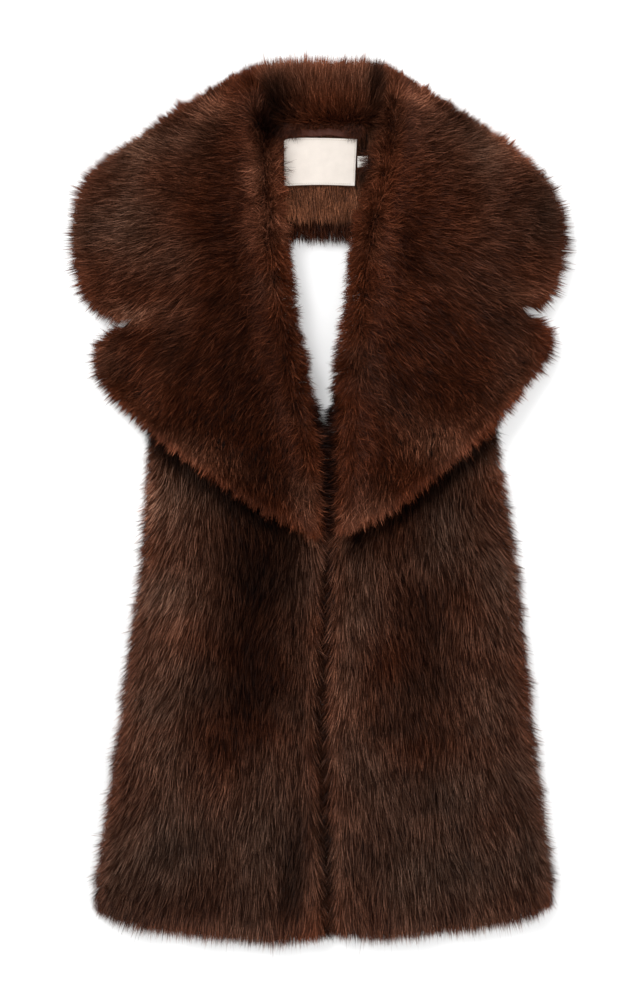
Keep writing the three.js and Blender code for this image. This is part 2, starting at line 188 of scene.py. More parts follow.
# Soft troughs and ridges: along at both ends, across at both ends, width and depth in millimetres
FRONT_LEFT_FOLDS = (
    (0.3, 0.8, 0.42, 0.3, 24, -5),
    (0.1, 0.75, 0.72, 0.78, 22, 2.5),
    (0.02, 0.3, 0.1, 0.07, 9, 2.5),
    (0.02, 0.2, 0.22, 0.17, 13, -4),
    (0.02, 0.22, 0.82, 0.68, 15, -3.5),
    (0.12, 0.42, 0.55, 0.62, 14, -2.5),
)
FRONT_RIGHT_FOLDS = (
    (0.25, 0.7, 0.5, 0.44, 22, -4.5),
    (0.3, 0.72, 0.14, 0.18, 17, 2.5),
    (0.2, 0.8, 0.8, 0.78, 18, 2.5),
    (0.02, 0.2, 0.2, 0.15, 12, -3.5),
    (0.02, 0.24, 0.86, 0.74, 14, -3),
    (0.05, 0.35, 0.4, 0.32, 13, -2.5),
)
COLLAR_LEFT_FOLDS = (
    (0.2, 0.95, 0.34, 0.3, 22, -5),
    (0.35, 0.9, 0.62, 0.66, 22, 2.5),
    (0.1, 0.45, 0.75, 0.6, 15, -3),
    (0.55, 0.85, 0.9, 0.82, 13, -2.5),
)
COLLAR_RIGHT_FOLDS = (
    (0.2, 0.8, 0.38, 0.46, 20, -4.5),
    (0.6, 0.95, 0.8, 0.74, 14, -5),
    (0.3, 0.9, 0.62, 0.6, 20, 2.5),
    (0.1, 0.4, 0.72, 0.6, 14, -3),
)
LAPEL_LEFT_FOLDS = (
    (0.05, 0.75, 0.34, 0.36, 22, -5),
    (0.1, 0.45, 0.82, 0.78, 14, -3),
    (0.15, 0.8, 0.62, 0.7, 18, 2.5),
)
LAPEL_RIGHT_FOLDS = (
    (0.05, 0.7, 0.5, 0.44, 24, -5),
    (0.1, 0.4, 0.8, 0.86, 13, -2.5),
    (0.15, 0.85, 0.74, 0.72, 16, 2.5),
)


def smooth(value, start, end):
    """0 below start, 1 above end, and an even S-curve between them."""
    t = np.clip((value - start) / (end - start), 0, 1)
    return t * t * (3 - 2 * t)


def unit(vectors):
    """The same vectors at length 1."""
    return vectors / np.maximum(np.linalg.norm(vectors, axis=-1, keepdims=True), 1e-9)


def through(rows, along):
    """A Catmull-Rom curve through a table's rows, one row at each equal step of along."""
    rows = np.asarray(rows, float)
    padded = np.vstack([2 * rows[0] - rows[1], rows, 2 * rows[-1] - rows[-2]])
    last = len(rows) - 1
    where = np.clip(along, 0, 1) * last
    k = np.minimum(where.astype(int), last - 1)
    t = (where - k)[..., None]
    before, start, end, after = (padded[k + i] for i in range(4))
    slope = end - before
    bend = 2 * before - 5 * start + 4 * end - after
    twist = 3 * start - before - 3 * end + after
    return start + 0.5 * t * (slope + t * (bend + t * twist))


def rounding(distance, reach):
    """A quarter circle: 0 at an edge, 1 from the given reach inwards."""
    left = 1 - np.clip(distance / reach, 0, 1)
    return np.sqrt(np.maximum(1 - left * left, 0))


def lock_height(x, y):
    """Height of the pile's locks: a wave across the hair that drifts along it, and a second, slower one."""
    drift = 1.7 * np.sin(y / 37 + x / 90)
    first = np.sin(x / 8.3 + drift) * np.sin(y / 21 + 0.8 * np.sin(x / 33))
    second = np.sin(x / 13.7 - y / 30 + 2.1)
    return LOCK_HEIGHT * (0.6 * first + 0.4 * second)


def wander(places, size, seed, waves=9):
    """Smooth noise of about unit strength: sine waves of seeded directions, with lumps of the given size."""
    draw = np.random.default_rng(SEED + seed)
    turn = draw.uniform(0, 2 * math.pi, waves)
    pitch = 2 * math.pi / (size * draw.uniform(1.2, 3.2, waves))
    start = draw.uniform(0, 2 * math.pi, waves)
    x, y = places[..., 0, None], places[..., 1, None]
    return np.sin(pitch * (x * np.cos(turn) + y * np.sin(turn)) + start).sum(-1) * math.sqrt(2 / waves)


class Form:
    """The surface that a piece's pile reaches. Straight sections between two rails are bowed by a fourth-power
    curve and stand as high as the table says. Quarter circles round them down to the rim, and folds and locks
    are added."""

    def __init__(self, rows, sides, ends, folds=(), locks=1.0, pile=PILE):
        self.rows, self.sides, self.ends = rows, sides, ends
        self.folds, self.locks, self.pile = folds, locks, pile
        steps = through(rows, np.linspace(0, 1, 200))
        rails = np.stack([steps[:, INNER], steps[:, OUTER]])
        self.length = np.linalg.norm(np.diff(rails, axis=1), axis=-1).sum() / 2
        down, out = self.growth(np.array([0.5]), np.array([0.5]))
        self.turn = math.copysign(1, np.cross(down, out)[0, 2])

    def edges(self, along, across):
        """Distance in from each edge, with the reach of its rounding."""
        table = through(self.rows, along)
        span = np.linalg.norm(table[..., OUTER] - table[..., INNER], axis=-1)
        return (
            (across * span, self.sides[0]),
            ((1 - across) * span, self.sides[1]),
            (along * self.length, self.ends[0]),
            ((1 - along) * self.length, self.ends[1]),
        )

    def relief(self, along, across, span):
        """Height of the folds: each a bell across itself that fades at both ends."""
        total = np.zeros(np.shape(along))
        for start, end, first, second, width, depth in self.folds:
            share = np.clip((along - start) / (end - start), 0, 1)
            off = (across - first - (second - first) * share) * span / width
            total += depth * np.sin(math.pi * share) * np.exp(-off * off)
        return total

    def place(self, along, across):
        """Points of the surface, in millimetres."""
        along, across = np.broadcast_arrays(along, across)
        table = through(self.rows, along)
        inner, outer = table[..., INNER], table[..., OUTER]
        span = np.linalg.norm(outer - inner, axis=-1)
        level = inner + (outer - inner) * across[..., None]
        x = level[..., 0]
        y = level[..., 1] - table[..., BOW] * (1 - np.abs(2 * across - 1) ** 4)
        rise = table[..., OUTER_HEIGHT] - table[..., INNER_HEIGHT]
        full = table[..., INNER_HEIGHT] + rise * smooth(across, 0, 1)
        body = np.maximum(full - RIM, 0) + self.relief(along, across, span) + self.locks * lock_height(x, y)
        for distance, reach in self.edges(along, across):
            if reach:
                body = body * rounding(distance, reach)
        return np.stack([x, y, RIM + body], -1)

    def growth(self, along, across):
        """The surface's two directions of growth, along and across, by small differences."""
        less, more = np.clip(along - STEP, 0, 1), np.clip(along + STEP, 0, 1)
        down = (self.place(more, across) - self.place(less, across)) / (more - less)[..., None]
        less, more = np.clip(across - STEP, 0, 1), np.clip(across + STEP, 0, 1)
        out = (self.place(along, more) - self.place(along, less)) / (more - less)[..., None]
        return down, out

    def normal(self, along, across):
        """Unit normals that point out of the pile."""
        return unit(np.cross(*self.growth(along, across))) * self.turn

    def depth(self, along, across):
        """Depth of the pile, less where an edge is rounded more tightly than the pile is deep, and on top of the
        collar's roll, where the roots would otherwise meet in a line."""
        deep = np.full(np.shape(along), float(self.pile))
        for distance, reach in self.edges(along, across):
            if reach:
                near = min(self.pile, SHRINK_NEAR_EDGE * reach)
                deep = np.minimum(deep, near + (self.pile - near) * np.clip(distance / (2 * reach), 0, 1))
            if reach == COLLAR_NOSE:
                deep = deep * (1 - ROLL_SHALLOWER * np.exp(-(((distance - reach) / ROLL_TOP) ** 2)))
        return deep

    def near_edge(self, along, across):
        """1 at a rounded edge, 0 where every one is further off than the edges' reach."""
        away = [distance for distance, reach in self.edges(along, across) if reach]
        return 1 - smooth(np.min(away, axis=0), 0, EDGE_REACH)

    def backing(self, along, across):
        """Points of the cloth that carries the pile, for parameters that run over the cloth alone: the surface,
        set in from its rounded edges and lowered by the depth of the pile."""
        ends = [min(self.pile, SHRINK_NEAR_EDGE * reach) / self.length if reach else 0.0 for reach in self.ends]
        along = ends[0] + (1 - ends[0] - ends[1]) * along
        table = through(self.rows, along)
        span = np.linalg.norm(table[..., OUTER] - table[..., INNER], axis=-1)
        inset = [np.minimum(min(self.pile, SHRINK_NEAR_EDGE * (reach or 0)) / span, 0.3) for reach in self.sides]
        across = inset[0] + (1 - inset[0] - inset[1]) * across
        places = self.place(along, across)
        places[..., 2] = np.maximum(places[..., 2] - self.pile, LOWEST)
        return places


def front_form(rows, folds):
    return Form(rows, (PANEL_FRONT, PANEL_SIDE), (PANEL_HEM, None), folds)


def lobe_form(rows, folds):
    return Form(rows, (COLLAR_NOSE, COLLAR_SIDE), (18.0, None), folds)


def lapel_form(rows, folds):
    return Form(rows, (COLLAR_NOSE, COLLAR_SIDE), (None, 14.0), folds)


FORMS = {
    "front_left": front_form(FRONT_LEFT, FRONT_LEFT_FOLDS),
    "front_right": front_form(FRONT_RIGHT, FRONT_RIGHT_FOLDS),
    "collar_left": lobe_form(COLLAR_LEFT, COLLAR_LEFT_FOLDS),
    "collar_right": lobe_form(COLLAR_RIGHT, COLLAR_RIGHT_FOLDS),
    "lapel_left": lapel_form(LAPEL_LEFT, LAPEL_LEFT_FOLDS),
    "lapel_right": lapel_form(LAPEL_RIGHT, LAPEL_RIGHT_FOLDS),
    "collar_back": Form(COLLAR_BACK, (16.0, 16.0), (18.0, 12.0), pile=13.0),
    "back_yoke": Form(BACK_YOKE, (8.0, 8.0), (None, 7.0), locks=0.0, pile=6.0),
    "back_facing": Form(BACK_FACING, (4.0, 4.0), (None, 5.0), locks=0.2, pile=5.5),
}
SLOTS = {row["node"]: row["material_slot"] for row in frame["record"]["subparts"]}


# Meshes from arrays

def mesh_object(name, points, faces, material):
    """A mesh object from arrays: points in millimetres (n by 3) and faces (n by 3 or n by 4)."""
    mesh = bpy.data.meshes.new(name)
    corners = faces.shape[1]
    mesh.vertices.add(len(points))
    mesh.vertices.foreach_set("co", (points * MM).astype(np.float32).ravel())
    mesh.loops.add(faces.size)
    mesh.loops.foreach_set("vertex_index", faces.astype(np.int32).ravel())
    mesh.polygons.add(len(faces))
    mesh.polygons.foreach_set("loop_start", np.arange(0, faces.size, corners, dtype=np.int32))
    mesh.polygons.foreach_set("loop_total", np.full(len(faces), corners, np.int32))
    mesh.update(calc_edges=True)
    mesh.materials.append(material)
    piece = bpy.data.objects.new(name, mesh)
    bpy.context.scene.collection.objects.link(piece)
    return piece


def belongs(piece):
    """The piece is part of the wrap: it rides on the body."""
    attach(piece, BODY)
    return piece


def shade_smooth(piece):
    piece.data.polygons.foreach_set("use_smooth", np.ones(len(piece.data.polygons), bool))


def set_uv(piece, name, per_point):
    """A UV map from one (u, v) pair for each point."""
    mesh = piece.data
    corner_points = np.zeros(len(mesh.loops), np.int32)
    mesh.loops.foreach_get("vertex_index", corner_points)
    layer = mesh.uv_layers.new(name=name)
    layer.data.foreach_set("uv", per_point[corner_points].astype(np.float32).ravel())


def set_value(piece, name, per_point):
    """A named number for each point."""
    layer = piece.data.attributes.new(name, "FLOAT", "POINT")
    layer.data.foreach_set("value", per_point.astype(np.float32))


def grid_faces(rows, columns, turned=False):
    """Quads of a grid of points, rows by columns, listed row by row."""
    first = (np.arange(rows - 1)[:, None] * columns + np.arange(columns - 1)).ravel()
    order = (first, first + columns, first + columns + 1, first + 1)
    return np.stack(order[::-1] if turned else order, -1)


def solidify(piece, thickness):
    """A cloth wall of the given thickness in millimetres, inwards from the surface."""
    wall = piece.modifiers.new("wall", "SOLIDIFY")
    wall.thickness = thickness * MM
    wall.offset = -1.0


# Shader nodes

def new_material(name):
    material = bpy.data.materials.new(name)
    material.use_nodes = True
    tree = material.node_tree
    return material, tree, tree.nodes["Principled BSDF"]


def add_node(tree, kind, **values):
    """A shader node with its inputs and properties set by name."""
    node = tree.nodes.new(kind)
    for key, value in values.items():
        if key in node.inputs:
            node.inputs[key].default_value = value
        else:
            setattr(node, key, value)
    return node


def add_ramp(tree, factor, stops):
    """A colour ramp with (place, colour) stops."""
    node = tree.nodes.new("ShaderNodeValToRGB")
    elements = node.color_ramp.elements
    while len(elements) < len(stops):
        elements.new(0.5)
    for element, (where, colour) in zip(elements, stops):
        element.position = where
        element.color = (*colour, 1.0)
    tree.links.new(factor, node.inputs["Fac"])
    return node.outputs["Color"]


def plug_in(tree, socket, value):
    """Links a socket to another, or sets it to a number or a colour."""
    if isinstance(value, bpy.types.NodeSocket):
        tree.links.new(value, socket)
    elif isinstance(value, (int, float)):
        socket.default_value = value
    else:
        socket.default_value = (*value, 1.0)


def add_mix(tree, factor, first, second, blend="MIX"):
    """Two colours mixed; the factor and the colours are sockets or plain values."""
    node = tree.nodes.new("ShaderNodeMix")
    node.data_type = "RGBA"
    node.blend_type = blend
    plug_in(tree, node.inputs[0], factor)
    plug_in(tree, node.inputs[6], first)
    plug_in(tree, node.inputs[7], second)
    return node.outputs[2]


def shade(colour, factor):
    """The colour, lighter or darker by a factor."""
    return tuple(factor * c for c in colour)


# Light of a hair by its chance: darker undercoat up to the guard hairs' share, and brighter, greyer guard hairs above
# it, whose brightest stops are painted sheen on top of the hairs' own lighter colour
HAIR_LIGHT = (
    (0.0, (0.15, 0.11, 0.09)),
    (0.5, (0.62, 0.59, 0.56)),
    (0.9, (1.3, 1.4, 1.45)),
    (0.92, (1.8, 2.1, 2.3)),
    (1.0, (3.0, 3.8, 4.4)),
)
COLLAR_LIGHT = (
    (0.0, (0.34, 0.3, 0.27)),
    (0.5, (0.7, 0.68, 0.66)),
    (0.9, (1.25, 1.32, 1.36)),
    (0.92, (1.45, 1.6, 1.7)),
    (1.0, (2.1, 2.45, 2.7)),
)
INSIDE_LIGHT = (
    (0.0, (0.5, 0.46, 0.44)),
    (0.9, (1.15, 1.15, 1.15)),
    (1.0, (1.5, 1.6, 1.7)),
)
UNDERCOAT_CHANCE = 0.9


def fur_material(name, chestnut, ash, root_share, lights=HAIR_LIGHT):
    """Hair: dark at the root and lighter to the tip, partly the hair's own darker base and partly painted shade deep
    in the pile; chestnut to ash by the piece's tone, uneven by strand, with painted sheen on the brightest guard
    hairs, and multiplied by the light attribute, which carries painted light and shade.
    """
    material, tree, shader = new_material(name)
    strand = add_node(tree, "ShaderNodeUVMap", uv_map="strand")
    parts = add_node(tree, "ShaderNodeSeparateXYZ")
    tree.links.new(strand.outputs["UV"], parts.inputs[0])
    tone = add_node(tree, "ShaderNodeAttribute", attribute_name="tone")
    light = add_node(tree, "ShaderNodeAttribute", attribute_name="light")
    chance, up = parts.outputs["X"], parts.outputs["Y"]
    colour = add_mix(tree, tone.outputs["Fac"], chestnut, ash)
    # Darker toward the root: partly the hair's own darker base, partly painted shade deep in the pile
    rise = add_ramp(tree, up, ((0.0, (root_share,) * 3), (0.35, (root_share * 2,) * 3), (1.0, (1.0,) * 3)))
    colour = add_mix(tree, 1.0, colour, rise, "MULTIPLY")
    # Brightness by strand: uneven undercoat, and painted sheen on the brightest guard hairs
    spread = add_ramp(tree, chance, lights)
    colour = add_mix(tree, 1.0, colour, spread, "MULTIPLY")
    # The light attribute multiplies in painted light and shade
    colour = add_mix(tree, 1.0, colour, light.outputs["Color"], "MULTIPLY")
    place = add_node(tree, "ShaderNodeTexCoord")
    fleck = add_node(tree, "ShaderNodeTexNoise", Scale=650.0, Detail=2.0)
    tree.links.new(place.outputs["Object"], fleck.inputs["Vector"])
    uneven = add_ramp(tree, fleck.outputs["Fac"], ((0.32, (0.55,) * 3), (0.68, (1.45,) * 3)))
    colour = add_mix(tree, 1.0, colour, uneven, "MULTIPLY")
    tree.links.new(colour, shader.inputs["Base Color"])
    shader.inputs["Roughness"].default_value = 0.45
    shader.inputs["Specular IOR Level"].default_value = 0.06
    return material


def backing_material(name, colour):
    """Knitted ground of the pile: dark brown, mottled, with a fine stitch in its relief."""
    material, tree, shader = new_material(name)
    place = add_node(tree, "ShaderNodeTexCoord")
    mottle = add_node(tree, "ShaderNodeTexNoise", Scale=60.0, Detail=4.0)
    tree.links.new(place.outputs["Object"], mottle.inputs["Vector"])
    tint = add_ramp(tree, mottle.outputs["Fac"], ((0.3, shade(colour, 0.6)), (0.7, colour)))
    tree.links.new(tint, shader.inputs["Base Color"])
    stitch = add_node(tree, "ShaderNodeTexVoronoi", Scale=700.0)
    tree.links.new(place.outputs["Object"], stitch.inputs["Vector"])
    relief = add_node(tree, "ShaderNodeBump", Strength=0.5, Distance=0.0006)
    tree.links.new(stitch.outputs["Distance"], relief.inputs["Height"])
    tree.links.new(relief.outputs["Normal"], shader.inputs["Normal"])
    shader.inputs["Roughness"].default_value = 0.9
    shader.inputs["Specular IOR Level"].default_value = 0.2
    return material


def woven_material(name, colour, shadow, thread, roughness, shine=0.4):
    """Fine woven cloth: warp and weft waves on the piece's own UV map, which is in millimetres."""
    material, tree, shader = new_material(name)
    cloth = add_node(tree, "ShaderNodeUVMap", uv_map="cloth")
    warp = add_node(tree, "ShaderNodeTexWave", bands_direction="X", Scale=thread, Distortion=0.6, Detail=1.0)
    weft = add_node(tree, "ShaderNodeTexWave", bands_direction="Y", Scale=thread, Distortion=0.6, Detail=1.0)
    soil = add_node(tree, "ShaderNodeTexNoise", Scale=0.12, Detail=3.0)
    for texture in (warp, weft, soil):
        tree.links.new(cloth.outputs["UV"], texture.inputs["Vector"])
    weave = add_node(tree, "ShaderNodeMath", operation="MULTIPLY")
    tree.links.new(warp.outputs["Fac"], weave.inputs[0])
    tree.links.new(weft.outputs["Fac"], weave.inputs[1])
    mixed = add_mix(tree, weave.outputs[0], shadow, colour)
    patch = add_ramp(tree, soil.outputs["Fac"], ((0.3, (0.93,) * 3), (0.7, (1.0,) * 3)))
    mixed = add_mix(tree, 1.0, mixed, patch, "MULTIPLY")
    tree.links.new(mixed, shader.inputs["Base Color"])
    relief = add_node(tree, "ShaderNodeBump", Strength=0.35, Distance=0.00012)
    tree.links.new(weave.outputs[0], relief.inputs["Height"])
    tree.links.new(relief.outputs["Normal"], shader.inputs["Normal"])
    shader.inputs["Roughness"].default_value = roughness
    shader.inputs["Specular IOR Level"].default_value = shine
    return material


CHESTNUT = (0.09, 0.0215, 0.0082)
ASH = (0.102, 0.05, 0.031)
INSIDE_BROWN = (0.17, 0.062, 0.03)
FUR_MATERIALS = {
    "collar_fur": fur_material("collar_fur", CHESTNUT, ASH, 0.22, COLLAR_LIGHT),
    "panel_fur": fur_material("panel_fur", CHESTNUT, ASH, 0.12),
    "facing_fur": fur_material("facing_fur", INSIDE_BROWN, INSIDE_BROWN, 0.4, INSIDE_LIGHT),
}
backing_cloth = backing_material("backing_cloth", (0.008, 0.003, 0.0018))
label_cloth = woven_material("label_cloth", (0.75, 0.68, 0.62), (0.65, 0.585, 0.525), 1.6, 0.6)
label_thread = woven_material("label_thread", (0.6, 0.52, 0.45), (0.5, 0.42, 0.35), 1.6, 0.6)
tag_cloth = woven_material("tag_cloth", (0.71, 0.68, 0.65), (0.61, 0.58, 0.54), 1.6, 0.6)
satin = woven_material("satin", (0.105, 0.033, 0.021), (0.05, 0.015, 0.009), 2.4, 0.45, 0.12)


# What lies under the collar

def height_below(x, y):
    """Height of what a lobe or lapel lies on: a front's cloth, the neck's yoke and facing, or the floor."""
    height = np.full(np.shape(x), LOWEST)
    steps = np.linspace(0, 1, 120)
    for node in ("front_left", "front_right"):
        table = through(FORMS[node].rows, steps)
        along = np.interp(y, (table[:, 1] + table[:, 3]) / 2, steps)
        section = through(FORMS[node].rows, along)
        across = (x - section[..., 0]) / (section[..., 2] - section[..., 0])
        covers = (across > 0) & (across < 1) & (along < 1)
        cloth = FORMS[node].place(along, np.clip(across, 0, 1))[..., 2] - PILE
        height = np.where(covers, np.maximum(height, cloth + LAYER_GAP), height)
    on_yoke = (np.abs(x) < 130) & (y > 225) & (y < 320)
    on_facing = (np.abs(x) < 62) & (y > 240) & (y < 320)
    height = np.where(on_yoke, np.maximum(height, 6), height)
    return np.where(on_facing, np.maximum(height, 15), height)


def floor_only(x, y):
    return np.full(np.shape(x), LOWEST)


# Cloth under the pile

def cloth_shell(node, rows, columns, below):
    """The cloth of a piece, all round: its backing over the top, a side and an underside that rests on what is
    below it, as a thin closed wall."""
    form = FORMS[node]
    along = 0.5 - 0.5 * np.cos(math.pi * np.linspace(0, 1, rows))
    across = 0.5 - 0.5 * np.cos(math.pi * np.linspace(0, 1, columns))
    top = form.backing(*np.meshgrid(along, across, indexing="ij"))
    under = top.copy()
    under[..., 2] = below(top[..., 0], top[..., 1])
    top[..., 2] = np.maximum(top[..., 2], under[..., 2] + 3 * WALL)
    turned = form.turn < 0
    index = np.arange(rows * columns).reshape(rows, columns)
    ring = np.concatenate([index[:-1, 0], index[-1, :-1], index[:0:-1, -1], index[0, :0:-1]])
    after = np.roll(ring, -1)
    side = np.stack([ring, ring + rows * columns, after + rows * columns, after], -1)
    faces = (
        grid_faces(rows, columns, turned),
        grid_faces(rows, columns, not turned) + rows * columns,
        side[:, ::-1] if turned else side,
    )
    points = np.concatenate([top.reshape(-1, 3), under.reshape(-1, 3)])
    piece = mesh_object(node + "_cloth", points, np.concatenate(faces), backing_cloth)
    shade_smooth(piece)
    solidify(piece, WALL)
    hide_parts(node)
    return belongs(piece)


SHELLS = {
    "front_left": {"rows": 50, "columns": 20, "below": floor_only},
    "front_right": {"rows": 50, "columns": 20, "below": floor_only},
    "collar_left": {"rows": 28, "columns": 20, "below": height_below},
    "collar_right": {"rows": 28, "columns": 20, "below": height_below},
    "lapel_left": {"rows": 28, "columns": 20, "below": height_below},
    "lapel_right": {"rows": 28, "columns": 20, "below": height_below},
    "collar_back": {"rows": 16, "columns": 18, "below": floor_only},
    "back_yoke": {"rows": 8, "columns": 12, "below": floor_only},
    "back_facing": {"rows": 12, "columns": 12, "below": lambda x, y: np.full(np.shape(x), 5.0)},
}
shells = {node: cloth_shell(node, **size) for node, size in SHELLS.items()}


# Where hair points: its share across and its share along, from the place on the piece. Hair whose shares come to
# less than 1 together stands more upright.

def comb_front(along, across, off_inner):
    """Down to the hem, fanning out toward the side; a little across the opening at centre front."""
    out = 0.42 * across ** 2.2 - 0.05 * (1 - smooth(across, 0, 0.2)) - 0.5 * (1 - smooth(off_inner, 0, 6))
    return out, -np.ones_like(along)


def comb_lobe(along, across, off_inner):
    """Outward from the roll line, up over the top end and down near the notch; more upright on the roll."""
    lean = 0.72 + 0.28 * smooth(off_inner, 25, 75)
    return lean, lean * (-1.1 + 1.0 * smooth(along, 0, 0.4) + 0.5 * smooth(along, 0.5, 1))


def comb_lapel(along, across, off_inner):
    """Outward and down, more steeply down toward the break; more upright on the roll, and down and across it
    where the two rolls meet."""
    lean = 0.72 + 0.28 * smooth(off_inner, 25, 75)
    meet = smooth(along, 0.42, 0.6) * (1 - smooth(off_inner, 0, 6))
    down = lean * (0.5 + 0.55 * along)
    return lean * (0.9 - 0.45 * along) * (1 - meet) - 0.95 * meet, down + (0.4 - down) * meet


def comb_up(along, across, off_inner):
    """Up, fanning out to both sides, more so toward the top."""
    return (1.3 - 0.8 * along) * (across - 0.5), -np.ones_like(along)


def comb_down(along, across, off_inner):
    """Down, fanning out a little."""
    return 0.4 * (across - 0.5), np.ones_like(along)


# Where hair shows

def everywhere(places):
    return np.ones(len(places), bool)


def below_lapel(rows, reach=24.0):
    """A test that is true where a front shows below its lapel, or lies close enough under the lapel's edge."""
    edge = through(rows, np.linspace(0, 1, 60))[:, OUTER]
    edge = edge[edge[:, 1] < 120]
    order = np.argsort(edge[:, 0])

    def shown(places):
        return places[:, 1] < np.interp(places[:, 0], edge[order, 0], edge[order, 1]) + reach

    return shown


def inside_neck(places):
    return np.abs(places[:, 0] - 2) < 50


# Painted shade: how much darker hair is painted where it lies under a lapel or where the rolls meet, from 0
# (unchanged) to 1 (black)

def no_painted_shade(form, along, across, places):
    return np.zeros(len(places))


def lapel_painted_shade(form, along, across, places):
    """Painted shade where the two rolls meet below the neck opening."""
    return 0.9 * smooth(along, 0.36, 0.5) * (1 - smooth(form.edges(along, across)[0][0], 1, 7))


def front_painted_shade(rows):
    """Painted shadow right under the lapel with the given table, less so where the lapels end, and painted shade along
    centre front.
    """
    edge = through(rows, np.linspace(0, 1, 60))[:, OUTER]
    edge = edge[edge[:, 1] < 120]
    order = np.argsort(edge[:, 0])

    def painted_shade(form, along, across, places):
        below = np.interp(places[:, 0], edge[order, 0], edge[order, 1]) - places[:, 1]
        fade = SHADOW_REACH * (1 - 0.65 * smooth(np.abs(places[:, 0]), 70, 130))
        under = 0.85 * np.exp(-np.clip(below, 0, None) / fade) * (0.3 + 0.7 * smooth(np.abs(places[:, 0] - 4), 14, 30))
        return np.maximum(under, 0.75 * (1 - smooth(form.edges(along, across)[0][0], 0, 8)))

    return painted_shade


# Patches of the pile as it lies: centre and half sizes in millimetres, then what each adds to the tone (chestnut to
# ash), the pile's own greyer and redder colour, and to the light's logarithm, which is painted light and shade:
# shadows under the lapels, in the creases beside the stand and the label and below the lobes' rims, dark valleys on
# the fronts, and lighter rims and roll edges, with some of the pile's own unevenness
PATCHES = (
    # Painted shadow under the left lapel, and a dark valley below it
    (-52, -60, 29, 70, -0.35, -1.65),
    (-54, -145, 28, 40, -0.3, -0.9),
    (-120, 10, 26, 26, 0.15, 0.5),
    (-126, -80, 34, 110, 0.2, 0.45),
    (-135, -205, 30, 45, 0.1, 0.3),
    (-88, -180, 34, 36, -0.3, -0.75),
    (-10, -50, 14, 45, 0.1, 0.25),
    (-12, -160, 12, 110, 0.0, -0.3),
    (-90, -285, 80, 50, 0.35, -0.22),
    (-10, -280, 16, 34, -0.25, -0.45),
    (-8, -332, 8, 28, 0.0, 0.35),
    (-24, -312, 9, 34, 0.0, -0.9),
    (-120, -328, 70, 15, -0.1, -0.5),
    (-95, -357, 100, 9, 0.0, 0.45),
    (100, -355, 100, 9, 0.0, 0.35),
    (98, -28, 36, 24, 0.2, 0.15),
    (135, -8, 30, 26, 0.0, -0.3),
    (87, -125, 26, 75, -0.3, -0.85),
    (28, -150, 16, 110, 0.05, 0.25),
    (150, -110, 28, 110, 0.1, 0.15),
    (110, -285, 85, 60, 0.35, -0.25),
    (-158, 255, 50, 58, 0.45, 0.35),
    (-130, 308, 36, 14, 0.15, 0.4),
    (-86, 334, 32, 16, 0.35, 1.1),
    (-66, 250, 30, 68, -0.3, -0.45),
    (-36, 245, 16, 95, 0.25, 0.85),
    (-49, 275, 7, 40, 0.15, 0.7),
    (-152, 163, 30, 11, 0.5, 1.0),
    (46, 245, 15, 100, 0.2, 0.6),
    (72, 220, 38, 38, -0.35, -0.45),
    (150, 300, 46, 28, 0.4, 0.55),
    (82, 340, 22, 12, 0.15, 1.0),
    (176, 238, 30, 32, 0.4, -0.35),
    (178, 181, 24, 12, 0.2, 0.55),
    (-60, 120, 46, 82, -0.25, -0.6),
    (-152, 88, 16, 16, 0.3, 0.8),
    (85, 110, 45, 70, -0.2, -0.3),
    (-34, -8, 40, 17, 0.15, 0.85),
    (-90, 43, 38, 20, 0.15, 0.65),
    (42, -7, 34, 17, 0.15, 0.65),
    (108, 54, 42, 24, 0.35, 1.1),
    (158, 102, 22, 20, 0.2, 0.6),
    (-148, 146, 34, 7, 0.0, -0.35),
    (160, 161, 34, 7, 0.0, -0.45),
    # Painted shade in the deep creases beside the stand and the label, and painted light along the stand's top
    (-35, 327, 14, 20, 0.0, -2.5),
    (-37, 309, 7, 12, 0.0, -1.5),
    (46, 344, 7, 30, 0.0, -1.9),
    (4, 358, 50, 14, 0.15, 0.4),
    (37, 303, 6, 13, 0.0, -2.4),
    (38, 280, 6, 18, 0.0, -1.7),
)
PATCH_TONE, PATCH_LIGHT = 4, 5


def patch_sum(places, column):
    """Sum of the patches' values in a column, each a soft bell round its centre."""
    total = np.zeros(len(places))
    for patch in PATCHES:
        x = (places[:, 0] - patch[0]) / patch[2]
        y = (places[:, 1] - patch[1]) / patch[3]
        total += patch[column] * np.exp(-(x * x + y * y))
    return total


# Hair

def hair_places(form, count, shown, draw):
    """Seeded places on a form, as many on each square millimetre, kept where they show."""
    kept_along, kept_across, total = [], [], 0
    while total < count:
        along, across = draw.random(BATCH), draw.random(BATCH)
        area = np.linalg.norm(np.cross(*form.growth(along, across)), axis=-1)
        keep = (draw.random(BATCH) < area / np.quantile(area, 0.995)) & shown(form.place(along, across))
        kept_along.append(along[keep])
        kept_across.append(across[keep])
        total += int(keep.sum())
    return np.concatenate(kept_along)[:count], np.concatenate(kept_across)[:count]


